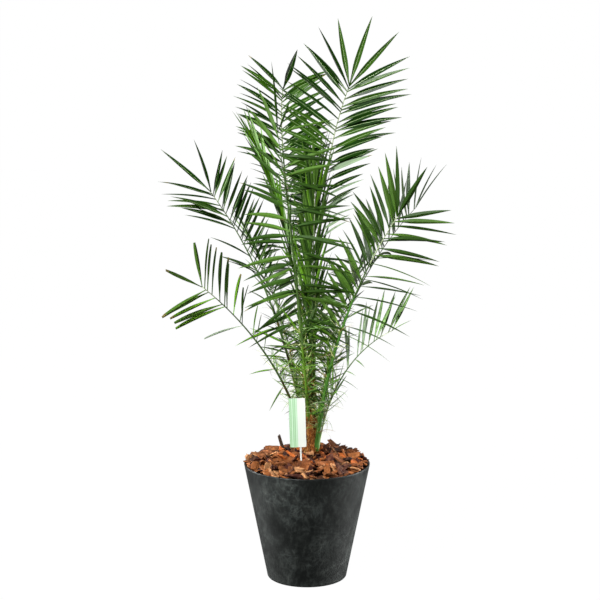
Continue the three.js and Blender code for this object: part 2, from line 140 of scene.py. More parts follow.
class Finish:
    # a Principled material with a few helpers for its nodes
    def __init__(self, name, **values):
        self.material = bpy.data.materials.new(name)
        self.material.use_nodes = True
        self.tree = self.material.node_tree
        self.shader = self.tree.nodes["Principled BSDF"]
        self.output = self.tree.nodes["Material Output"]
        self.set(**values)

    def join(self, target, value):
        if isinstance(value, Wire):
            self.tree.links.new(value.socket, target)
        else:
            target.default_value = value

    def node(self, kind, settings=None, inputs=None, out=0):
        made = self.tree.nodes.new(kind)
        for key, value in (settings or {}).items():
            setattr(made, key, value)
        for key, value in (inputs or {}).items():
            self.join(made.inputs[key], value)
        return Wire(self, made.outputs[out])

    def mixColour(self, factor, first, second):
        return self.node("ShaderNodeMix", {"data_type": "RGBA"}, {0: factor, 6: first, 7: second}, out=2)

    def place(self, stretch=(1, 1, 1)):
        where = self.node("ShaderNodeTexCoord", out="Object")
        return self.node("ShaderNodeMapping", {}, {"Vector": where, "Scale": stretch})

    def noise(self, vector, scale, detail=3.0, roughness=0.5, distortion=0.0):
        return self.node("ShaderNodeTexNoise", {}, {
            "Vector": vector, "Scale": scale, "Detail": detail, "Roughness": roughness,
            "Distortion": distortion}, out="Fac")

    def ramp(self, value, low, high):
        return self.node("ShaderNodeMapRange", {"clamp": True}, {0: value, 1: low, 2: high, 3: 0.0, 4: 1.0})

    def bump(self, height, strength, distance):
        normal = self.node("ShaderNodeBump", {}, {
            "Height": height, "Strength": strength, "Distance": distance}, out="Normal")
        self.join(self.shader.inputs["Normal"], normal)

    def set(self, **values):
        names = {"tint": "Base Color", "rough": "Roughness", "gloss": "Specular IOR Level",
                 "glow": "Emission Strength", "glowTint": "Emission Color"}
        for key, value in values.items():
            self.join(self.shader.inputs[names[key]], value)

    def letThrough(self, tint, share):
        # part of the light passes through the blade
        through = self.node("ShaderNodeBsdfTranslucent", {}, {"Color": tint})
        body = Wire(self, self.shader.outputs["BSDF"])
        mix = self.node("ShaderNodeMixShader", {}, {0: share, 1: body, 2: through})
        self.join(self.output.inputs["Surface"], mix)


def shaded(tint, factor, lift=(0, 0, 0)):
    # a darker or lighter form of a colour
    return tuple(min(1, c * factor + rise) for c, rise in zip(tint[:3], lift)) + (1,)


def grainFinish(name, dark, light, scale, detail=2.0, roughness=0.5, stretch=(1, 1, 1), bump=None,
                span=None, **values):
    # a fine grain mixes two tints and may also stand out; dark is a tint or a share of the light one
    finish = Finish(name, **values)
    grain = finish.noise(finish.place(stretch), scale, detail, roughness)
    share = finish.ramp(grain, *span) if span else grain
    low = colour(dark) if isinstance(dark, str) else shaded(colour(light), dark)
    finish.set(tint=finish.mixColour(share, low, colour(light)))
    if bump:
        finish.bump(grain, *bump)
    return finish


# Mesh helpers


def draw(group, item, channel):
    # a number from 0 to 1 that the part's source draws in the same way
    h = ((group * 7919 + item * 131 + channel * 17 + 1) * 2654435761) & 0xffffffff
    h = ((h ^ (h >> 15)) * 2246822519) & 0xffffffff
    h = ((h ^ (h >> 13)) * 3266489917) & 0xffffffff
    return (h ^ (h >> 16)) / 4294967296


def unit(vectors):
    return vectors / np.linalg.norm(vectors, axis=-1, keepdims=True)


def dot(first, second):
    return (first * second).sum(-1, keepdims=True)


def makePiece(name, vertices, faces, finishes, tones=None, smooth=True, sharpAngle=None):
    mesh = bpy.data.meshes.new(name)
    mesh.from_pydata(np.asarray(vertices).reshape(-1, 3).tolist(), [], faces)
    for finish in finishes:
        mesh.materials.append(finish.material)
    if tones is not None:
        mesh.polygons.foreach_set("material_index", np.asarray(tones, dtype=np.int32))
    if smooth:
        mesh.shade_smooth()
        if sharpAngle:
            mesh.set_sharp_from_angle(angle=math.radians(sharpAngle))
    mesh.update()
    return linked(name, mesh)


def setOn(piece, node):
    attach(piece, "root")
    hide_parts(node)


def angles(around):
    return np.arange(around) / around * 2 * math.pi


def circle(radius, height, around, middle=(0, 0)):
    a = angles(around)
    return np.stack([middle[0] + radius * np.cos(a), middle[1] + radius * np.sin(a), height + 0 * a], -1)


def tubeFaces(stations, ringSize, first=0):
    # sides of a skin over rings, then its two end caps
    faces = []
    for i in range(stations - 1):
        for j in range(ringSize):
            a = first + i * ringSize + j
            b = first + i * ringSize + (j + 1) % ringSize
            faces.append((a, b, b + ringSize, a + ringSize))
    last = first + (stations - 1) * ringSize
    faces.append(tuple(range(first + ringSize - 1, first - 1, -1)))
    faces.append(tuple(range(last, last + ringSize)))
    return faces


def repeated(faces, size, count):
    return [tuple(v + n * size for v in face) for n in range(count) for face in faces]


def manyTubes(count, stations, ringSize):
    return repeated(tubeFaces(stations, ringSize), stations * ringSize, count)


def slabFaces(rows, columns):
    # faces of a closed slab of two grids: near sheet, far sheet and rim
    far = rows * columns
    corners = [j * columns + i for j in range(rows - 1) for i in range(columns - 1)]
    near = [(a, a + 1, a + columns + 1, a + columns) for a in corners]
    away = [tuple(far + v for v in face[::-1]) for face in near]
    border = list(range(columns))
    border += [j * columns + columns - 1 for j in range(1, rows)]
    border += [(rows - 1) * columns + i for i in range(columns - 2, -1, -1)]
    border += [j * columns for j in range(rows - 2, 0, -1)]
    rim = [(b, a, far + a, far + b) for a, b in zip(border, border[1:] + border[:1])]
    return near, away, rim


def smoothStep(x):
    x = np.clip(x, 0, 1)
    return x * x * (3 - 2 * x)


# Planter

planter = {
    "height": 0.345, "topRadius": 0.185, "baseRadius": 0.116, "wall": 0.005, "floor": 0.007, "around": 192,
    "edgeRounding": 0.008, "edgeSteps": 8, "wallSteps": 12, "wallTop": 0.003,
    "rimRounding": 0.0016, "rimSteps": 6, "rimInset": 0.0004,
}
planterSlope = (planter["topRadius"] - planter["baseRadius"]) / planter["height"]


def insideRadius(z):
    return planter["baseRadius"] - planter["wall"] + planterSlope * z


def planterFinish():
    finish = Finish("charcoalComposite", gloss=0.3)
    where = finish.place()
    drift = finish.noise(where, 7.0, 4.0, 0.6, 1.2)
    veins = finish.noise(where, 13.0, 6.0, 0.62, 2.6)
    distance = finish.node("ShaderNodeMath", {"operation": "ABSOLUTE"}, {0: veins - 0.5})
    ridge = 1 - finish.ramp(distance, 0.0, 0.06)
    wisps = ridge * finish.ramp(drift, 0.40, 0.72)
    clouds = finish.ramp(drift, 0.3, 0.8)
    grit = finish.noise(where, 420.0, 2.0)
    haze = finish.noise(where, 42.0, 8.0, 0.72, 0.8)
    bloom = finish.ramp(haze, 0.46, 0.74) * finish.ramp(drift, 0.38, 0.68)
    rubs = finish.noise(finish.place((1, 1, 0.22)), 95.0, 5.0, 0.7)
    scuffs = finish.ramp(rubs, 0.52, 0.72)
    base = finish.mixColour(clouds, colour("#0b0d0c"), colour("#191c1b"))
    base = finish.mixColour(wisps * 0.22, base, colour("#565d5a"))
    base = finish.mixColour(bloom * 0.16 + scuffs * 0.06, base, colour("#7b817b"))
    finish.set(tint=base, rough=clouds * 0.1 + bloom * 0.12 + 0.4)
    finish.bump(grit + clouds * 0.8, 0.12, 0.0006)
    return finish


def makePlanter():
    p = planter
    rounding = p["edgeRounding"]
    centre = p["baseRadius"] + planterSlope * rounding - rounding
    profile = []
    for i in range(p["edgeSteps"] + 1):
        a = i / p["edgeSteps"] * math.pi / 2
        profile.append((centre + rounding * math.sin(a), rounding * (1 - math.cos(a))))
    for i in range(1, p["wallSteps"] + 1):
        z = rounding + (p["height"] - p["wallTop"] - rounding) * i / p["wallSteps"]
        profile.append((p["baseRadius"] + planterSlope * z, z))
    middle = p["topRadius"] - p["wall"] / 2 - p["rimInset"]
    for i in range(p["rimSteps"] + 1):
        a = math.pi * i / p["rimSteps"]
        z = p["height"] - p["rimRounding"] + p["rimRounding"] * math.sin(a)
        profile.append((middle + p["wall"] / 2 * math.cos(a), z))
    profile.append((insideRadius(p["floor"]), p["floor"]))
    rings = [circle(radius, z, p["around"]) for radius, z in profile]
    faces = tubeFaces(len(rings), p["around"])
    setOn(makePiece("planterShell", rings, faces, [planterFinish()], sharpAngle=35), "pot")


# Soil, under the bark

def makeSoil():
    finish = grainFinish("darkSoil", "#1a110b", "#3b2a1d", 160.0, 4.0, 0.7, bump=(0.6, 0.002),
                         gloss=0.2, rough=0.95)
    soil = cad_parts["soil"]
    soil.data.materials.clear()
    soil.data.materials.append(finish.material)


# Bark chips

bark = {
    "moundRise": 0.020, "moundShoulder": -0.002, "moundPower": 1.8, "chips": 400, "seed": 11,
    "length": (0.022, 0.060), "width": (0.012, 0.029), "thickness": (0.004, 0.012), "along": 9, "across": 6,
    "pointed": (0.35, 0.95), "ragged": (-0.16, 0.16), "wobble": (-0.05, 0.05), "ridges": (0.62, 1.0),
    "rough": (0.85, 1.1), "under": (0.7, 1.0), "bend": (-0.004, 0.006), "cup": (-0.0015, 0.0035),
    "endTaper": 0.75, "endPower": 2.6, "edgeThin": 0.55, "edgePower": 4,
    "reach": 0.180, "spiralTurn": 137.5, "turnJitter": (-12, 12), "liftJitter": (-0.002, 0.003),
    "layers": ((0.34, -0.006, 16), (0.36, 0.000, 32), (0.30, 0.005, 46)),  # share, lift, tilt
    "stemLevel": 0.38, "clearOfStem": 0.020, "clearOfRim": 0.001, "rimBand": 0.002, "grainSpread": 3,
}
# tints 2 and 5, the darkest, are painted shade: chips dealt them stand in for chips lying in shade
barkTints = ["#673714", "#80491f", "#3c1405", "#a8764c", "#a8561e", "#280b02", "#76401a"]
barkShares = [0.22, 0.20, 0.16, 0.16, 0.05, 0.09, 0.12]


def barkFinish(name, tint):
    finish = Finish(name, gloss=0.25)
    grain = finish.node("ShaderNodeAttribute", {"attribute_name": "grain"}, out="Vector")
    drawn = finish.node("ShaderNodeMapping", {}, {"Vector": grain, "Scale": (0.35, 5.0, 5.0)})
    streaks = finish.noise(drawn, 130.0, 4.0, 0.65, 0.6)
    blotch = finish.noise(grain, 45.0, 3.0, 0.6)
    base = colour(tint)
    body = finish.mixColour(finish.ramp(streaks, 0.36, 0.62), shaded(base, 0.42), base)
    worn = shaded(base, 1.6, (0.09, 0.05, 0.025))
    finish.set(tint=finish.mixColour(finish.ramp(blotch, 0.5, 0.72) * 0.75, body, worn), rough=0.8)
    finish.bump(streaks + blotch * 0.5, 0.75, 0.0016)
    return finish


def moundHeight(r):
    share = np.minimum(1, r / insideRadius(planter["height"]))
    return planter["height"] + bark["moundShoulder"] + bark["moundRise"] * (1 - share ** bark["moundPower"])


def chipShapes(count, random):
    # closed rough slabs, longer than wide, with ragged ends and a little bend
    b = bark
    nu, nv = b["along"], b["across"]
    u, v = np.meshgrid(np.linspace(-1, 1, nu), np.linspace(-1, 1, nv), indexing="ij")

    def drawn(key, *size):
        return random.uniform(*b[key], (count, *size) if size else (count, 1, 1))

    length, width, thick, point = (drawn(key) for key in ("length", "width", "thickness", "pointed"))
    outline = 1 - point * np.abs(u) ** b["endPower"] * b["endTaper"]
    x = length * 0.5 * (u + drawn("ragged", nu, nv) * u ** 2)
    y = width * 0.5 * v * outline + width * drawn("wobble", nu, nv)
    bend, cup = drawn("bend") * u ** 2, drawn("cup") * v ** 2
    edge = 1 - b["edgeThin"] * np.maximum(np.abs(u), np.abs(v)) ** b["edgePower"]
    ridges = drawn("ridges", 1, nv) * drawn("rough", nu, nv)
    top = thick * 0.5 * edge * ridges + bend + cup
    bottom = -thick * 0.5 * edge * drawn("under", nu, nv) + bend + cup
    sheets = [np.stack([x, y, z], -1) for z in (bottom, top)]
    return np.stack(sheets, 1).reshape(count, -1, 3)


def turned(points, turns):
    # rotates each chip by its roll, pitch and heading
    rx, ry, rz = turns.T[:, :, None]
    x, y, z = points[..., 0], points[..., 1], points[..., 2]
    y, z = y * np.cos(rx) - z * np.sin(rx), y * np.sin(rx) + z * np.cos(rx)
    x, z = x * np.cos(ry) + z * np.sin(ry), -x * np.sin(ry) + z * np.cos(ry)
    x, y = x * np.cos(rz) - y * np.sin(rz), x * np.sin(rz) + y * np.cos(rz)
    return np.stack([x, y, z], -1)


def spreadChips(random):
    # middles, turns and lifts of the chips, layer on layer in a spiral
    b = bark
    middles, turns, lifts = [], [], []
    start = 0
    for share, lift, tilt in b["layers"]:
        count = int(round(share * b["chips"]))
        for k in range(count):
            r = b["reach"] * math.sqrt((k + random.uniform(0.1, 0.9)) / count)
            a = math.radians(b["spiralTurn"] * (k + start) + random.uniform(*b["turnJitter"]))
            middles.append((r * math.cos(a), r * math.sin(a)))
            lifts.append(lift + random.uniform(*b["liftJitter"]))
            roll, pitch = random.uniform(-tilt, tilt), random.uniform(-tilt, tilt)
            turns.append([math.radians(roll), math.radians(pitch), random.uniform(0, 2 * math.pi)])
        start += count
    return np.array(middles), np.array(turns), np.array(lifts)


def laidOnMound(shapes, middles, lifts):
    height = moundHeight(np.hypot(middles[:, 0], middles[:, 1])) + lifts
    return shapes + np.stack([middles[:, 0], middles[:, 1], height], -1)[:, None, :]


def makeBark():
    b = bark
    random = np.random.RandomState(b["seed"])
    finishes = [barkFinish("barkTone%d" % i, tint) for i, tint in enumerate(barkTints)]
    local = chipShapes(b["chips"], random)
    middles, turns, lifts = spreadChips(random)
    shapes = turned(local, turns)
    for _ in range(3):
        # chips that would stand in the planter's wall move inwards
        placed = laidOnMound(shapes, middles, lifts)
        low = placed[..., 2] < planter["height"] + b["rimBand"]
        over = np.hypot(placed[..., 0], placed[..., 1]) - (insideRadius(placed[..., 2]) - b["clearOfRim"])
        push = np.maximum(0, np.where(low, over, -1).max(1))
        radius = np.hypot(middles[:, 0], middles[:, 1])
        middles = middles * (1 - push / np.maximum(radius, 1e-4))[:, None]
    placed = laidOnMound(shapes, middles, lifts)
    foot = stemCentre(b["stemLevel"])
    keep = np.hypot(middles[:, 0] - foot[0], middles[:, 1] - foot[1]) > b["clearOfStem"]
    placed, local = placed[keep], local[keep]
    one = sum(slabFaces(b["along"], b["across"]), [])
    tones = np.repeat(random.choice(len(barkTints), len(placed), p=barkShares), len(one))
    faces = repeated(one, shapes.shape[1], len(placed))
    piece = makePiece("barkChips", placed, faces, finishes, tones, sharpAngle=38)
    grain = piece.data.attributes.new("grain", "FLOAT_VECTOR", "POINT")
    offset = random.uniform(-b["grainSpread"], b["grainSpread"], (len(placed), 1, 3))
    grain.data.foreach_set("vector", (local + offset).astype(np.float32).ravel())
    setOn(piece, "bark_mulch")
    setOn(makeBarkBed(), "bark_mulch")


litter = {
    "around": 96, "steps": 14, "edgeDrop": 0.004, "rimDrop": 0.006, "gap": 0.0006, "bottom": 0.3145,
    "bottomShare": 0.99, "under": 0.008, "wave": 0.0022,
}


def makeBarkBed():
    # dark litter under the chips, seen only in the gaps; its dark tint is partly the litter's own colour and
    # partly painted shade for the gaps between the chips
    finish = grainFinish("barkLitterAndGapShade", "#170d07", "#57321c", 210.0, 4.0, 0.7, bump=(0.8, 0.003),
                         gloss=0.2, rough=0.95)
    b = litter
    a = angles(b["around"])
    edge = insideRadius(planter["height"] - b["edgeDrop"]) - b["gap"]
    rings = [circle(edge * b["bottomShare"], b["bottom"], b["around"])]
    rings.append(circle(edge, planter["height"] - b["rimDrop"], b["around"]))
    for i in range(1, b["steps"] + 1):
        r = edge * (1 - i / (b["steps"] + 0.5))
        wave = b["wave"] * np.sin(a * 9 + i * 1.7) * np.cos(a * 5 - i)
        rings.append(circle(r, moundHeight(r) - b["under"] + wave * min(1, i / 2), b["around"]))
    return makePiece("barkBed", rings, tubeFaces(len(rings), b["around"]), [finish])


# Label and stump

label = {
    "place": (-0.0235, -0.082, 0.345), "width": 0.047, "height": 0.145, "thickness": 0.0012, "lean": 1.7,
    "bottom": 0.413, "corner": 0.0022, "bow": 0.0012, "rows": (0.0, 0.015, 0.985, 1.0),
    "stickWidth": 0.0050, "stickThickness": 0.0022, "stickPoint": 0.010, "stickTip": 0.0003,
    "stickShift": 0.007, "stickBack": 0.0006, "stickOverlap": 0.02,
    "bands": ((0.0, 1), (0.05, 0), (0.10, 1), (0.15, 2), (0.22, 1), (0.27, 0), (0.34, 1), (0.39, 2),
              (0.46, 0), (0.5, 3)),  # where each starts, and its tint
    # tint 4 is a darker copy of the white tint 3: painted shade on the card's back, rim and stick
    "tints": ["#91b290", "#7b9c78", "#a3bfa3", "#bec2bb", "#b8bab6"], "shadedWhiteTint": 4,
}


def leaned(points, degrees, place):
    lean = math.radians(degrees)
    turn = [[math.cos(lean), 0, math.sin(lean)], [0, 1, 0], [-math.sin(lean), 0, math.cos(lean)]]
    return np.array(points) @ np.array(turn) + np.array(place)


def makeLabel():
    s = label
    edges = [start for start, _ in s["bands"]] + [1.0]
    vertices = []
    for depth in (-s["thickness"] / 2, s["thickness"] / 2):
        for v in s["rows"]:
            for u in edges:
                inset = s["corner"] if (v in (0.0, 1.0) and u in (0.0, 1.0)) else 0.0
                x = (u - 0.5) * s["width"]
                x -= math.copysign(inset, x)
                bow = s["bow"] * (1 - (2 * u - 1) ** 2)
                vertices.append((x, depth - bow, s["bottom"] + v * s["height"] - s["place"][2]))
    near, away, rim = slabFaces(len(s["rows"]), len(edges))
    tones = [tint for _, tint in s["bands"]] * (len(s["rows"]) - 1)
    first = len(vertices)
    top = s["bottom"] + s["stickOverlap"] - s["place"][2]
    w, t = s["stickWidth"] / 2, s["stickThickness"] / 2
    for x, z in ((s["stickTip"], 0.0), (w, s["stickPoint"]), (w, top)):
        for dx, dy in ((-x, -t), (x, -t), (x, t), (-x, t)):
            vertices.append((s["stickShift"] + dx, dy * 0.9 + s["stickBack"], z))
    faces = near + away + rim + tubeFaces(3, 4, first)
    # back, rim and stick take the darker white: painted shade
    tones += [s["shadedWhiteTint"]] * (len(faces) - len(near))
    finishes = [grainFinish("labelTint%d" % i, 0.94, tint, 60.0, stretch=(1, 1, 0.2), gloss=0.5, rough=0.32)
                for i, tint in enumerate(s["tints"])]
    placed = leaned(vertices, s["lean"], s["place"])
    setOn(makePiece("labelCard", placed, faces, finishes, tones, smooth=False), "plant_label")


stump = {
    "place": (-0.062, 0.060), "radius": 0.0046, "foot": 0.338, "length": 0.076, "lean": 16,
    "around": 20, "levels": 14, "cutDepth": 0.0022, "footWidth": 1.12, "taper": 0.16,
    "ribs": ((0.09, 4, 3), (0.05, 9, 0)),  # height, number round the stump, twist
}


def makeStump():
    s = stump
    finish = grainFinish("dryStump", "#120c08", "#3a2a1d", 60.0, 4.0, 0.7, (6, 6, 1), (0.8, 0.0012),
                         gloss=0.2, rough=0.9)
    rings = []
    a = angles(s["around"])
    for i in range(s["levels"] + 1):
        h = i / s["levels"]
        ribs = 1 + sum(rise * np.sin(a * number + h * twist) for rise, number, twist in s["ribs"])
        cut = s["cutDepth"] * np.sin(a + 1) if h == 1 else 0
        radius = s["radius"] * (s["footWidth"] - s["taper"] * h) * ribs
        rings.append(circle(radius, s["length"] * h + cut, s["around"]))
    placed = leaned(rings, s["lean"], s["place"] + (s["foot"],))
    piece = makePiece("stumpStem", placed, tubeFaces(len(rings), s["around"]), [finish], sharpAngle=50)
    setOn(piece, "cut_stub")


# Stem: a core, old leaf bases and a net of fibres

stem = {
    "x": 0.012, "y": 0.030, "foot": 0.3143, "top": 0.492, "lean": 3, "leanFrom": 0.314, "sideShare": 0.3,
    "radii": (0.027, 0.024, 0.020, 0.017, 0.014), "skin": 0.001, "around": 56, "levels": 70,
    "leafBases": 3, "spiralTurns": 6.0, "baseRise": 0.0042,
    "ridges": ((0.0009, 23, 90), (0.0006, 41, -60)),  # height, number round the stem, twist
}


def stemCentre(z):
    lean = math.tan(math.radians(stem["lean"])) * (z - stem["leanFrom"])
    return np.stack([stem["x"] - lean * stem["sideShare"], stem["y"] + lean, z], -1)


def stemHeight(h):
    return stem["foot"] + (stem["top"] - stem["foot"]) * h


def stemRadius(h):
    return np.interp(h, np.linspace(0, 1, len(stem["radii"])), stem["radii"])


def stemRelief(angle, h):
    # a spiral of overlapping leaf bases, each highest at its upper edge
    phase = (angle / (2 * math.pi) * stem["leafBases"] + h * stem["spiralTurns"]) % 1.0
    ridges = sum(rise * np.sin(angle * number + h * twist) for rise, number, twist in stem["ridges"])
    return stem["baseRise"] * phase ** 2 + ridges


def fibreFinish(name, dark, light):
    return grainFinish(name, dark, light, 240.0, 4.0, 0.65, (1, 1, 0.35), (0.7, 0.0015), (0.3, 0.7),
                       gloss=0.2, rough=0.88)


def makeStem():
    s = stem
    rings = []
    for i in range(s["levels"] + 1):
        h = i / s["levels"]
        x, y, z = stemCentre(stemHeight(h))
        r = stemRadius(h) - s["skin"] + stemRelief(angles(s["around"]), h)
        rings.append(circle(r, z, s["around"], (x, y)))
    core = fibreFinish("stemBark", "#200d04", "#a05c24")
    piece = makePiece("stemCore", rings, tubeFaces(len(rings), s["around"]), [core])
    setOn(piece, "trunk")
    tints = {"fibreDark": ("#2b1407", "#6e3d18"), "fibreMid": ("#5f3210", "#b3722f"),
             "fibrePale": ("#94703a", "#d8b06a")}
    finishes = [fibreFinish(name, dark, light) for name, (dark, light) in tints.items()]
    for name in strands:
        makeStrands(name, finishes)


strands = {
    "stemFibres": {"node": "trunk", "slot": "stem_fibre", "count": 420, "from": 0.3, "to": 0.95, "top": 1.06,
                   "half": (0.00025, 0.0008), "lift": 0.0034, "seed": 5},
    "heartFibres": {"node": "frond_heart", "slot": "leaf_green", "count": 170, "from": 0.85, "to": 1.55,
                    "top": 1.75, "half": (0.0004, 0.0016), "lift": 0.0060, "seed": 6},
}
strand = {
    "stations": 12, "reach": (0.08, 0.36), "slant": (0.3, 1.5), "low": 0.25, "leastLift": 0.0006,
    "freeLift": 0.004, "shares": (0.35, 0.45, 0.2), "startShare": 0.3, "sway": 0.15, "tipThin": 0.75,
}
hairCorners = ((1, 0), (0, 0.6), (-1, 0), (0, -0.6))


def makeHairs(name, line, first, second, half, tones, finishes, node):
    # thin closed tubes along many lines at once
    rings = np.stack([line + first * (half * u) + second * (half * v) for u, v in hairCorners], 2)
    count, stations, ringSize = rings.shape[:3]
    tones = np.repeat(tones, len(tubeFaces(stations, ringSize)))
    setOn(makePiece(name, rings, manyTubes(count, stations, ringSize), finishes, tones), node)


def makeStrands(name, finishes):
    # fibres that lie round the stem, with their upper ends free
    net = strands[name]
    random = np.random.RandomState(net["seed"])
    count = net["count"]
    run = np.linspace(0, 1, strand["stations"])
    start = random.uniform(net["from"], net["to"], (count, 1))
    reach = random.uniform(*strand["reach"], (count, 1))
    slant = random.choice([-1, 1], (count, 1)) * random.uniform(*strand["slant"], (count, 1))
    turn = random.uniform(0, 2 * math.pi, (count, 1))
    h = np.clip(start + reach * (run - strand["startShare"]), strand["low"], net["top"])
    a = turn + slant * run + strand["sway"] * np.sin(run * 7 + turn * 3)
    lift = random.uniform(strand["leastLift"], net["lift"], (count, 1))
    lift = lift + strand["freeLift"] * run ** 3 * random.uniform(0, 1, (count, 1))
    r = stemRadius(h) + stemRelief(a, h) + lift - stem["skin"]
    outward = np.stack([np.cos(a), np.sin(a), 0 * a], -1)
    line = stemCentre(stemHeight(h)) + outward * r[..., None]
    beside = unit(np.cross(outward, unit(np.gradient(line, axis=1))))
    half = random.uniform(*net["half"], (count, 1)) * (1 - strand["tipThin"] * run ** 3)
    tones = random.choice(3, count, p=strand["shares"])
    makeHairs(name, line, beside, outward, half[..., None], tones, finishes, net["node"])


# Fronds: the source's rule, in metres, then finer leaflets

growth = {
    "fineSteps": 56, "ribTip": 0.0012, "ribTaper": 1.3, "depthShare": 0.62, "turnReach": 0.4, "stagger": 0.2,
    "fold": 18, "sag": 0.06, "closeCurl": 22, "spreadJitter": 13, "foldJitter": 24, "lengthJitter": 0.12,
    "bunch": 0.35, "bunchTurn": 0.9,
}
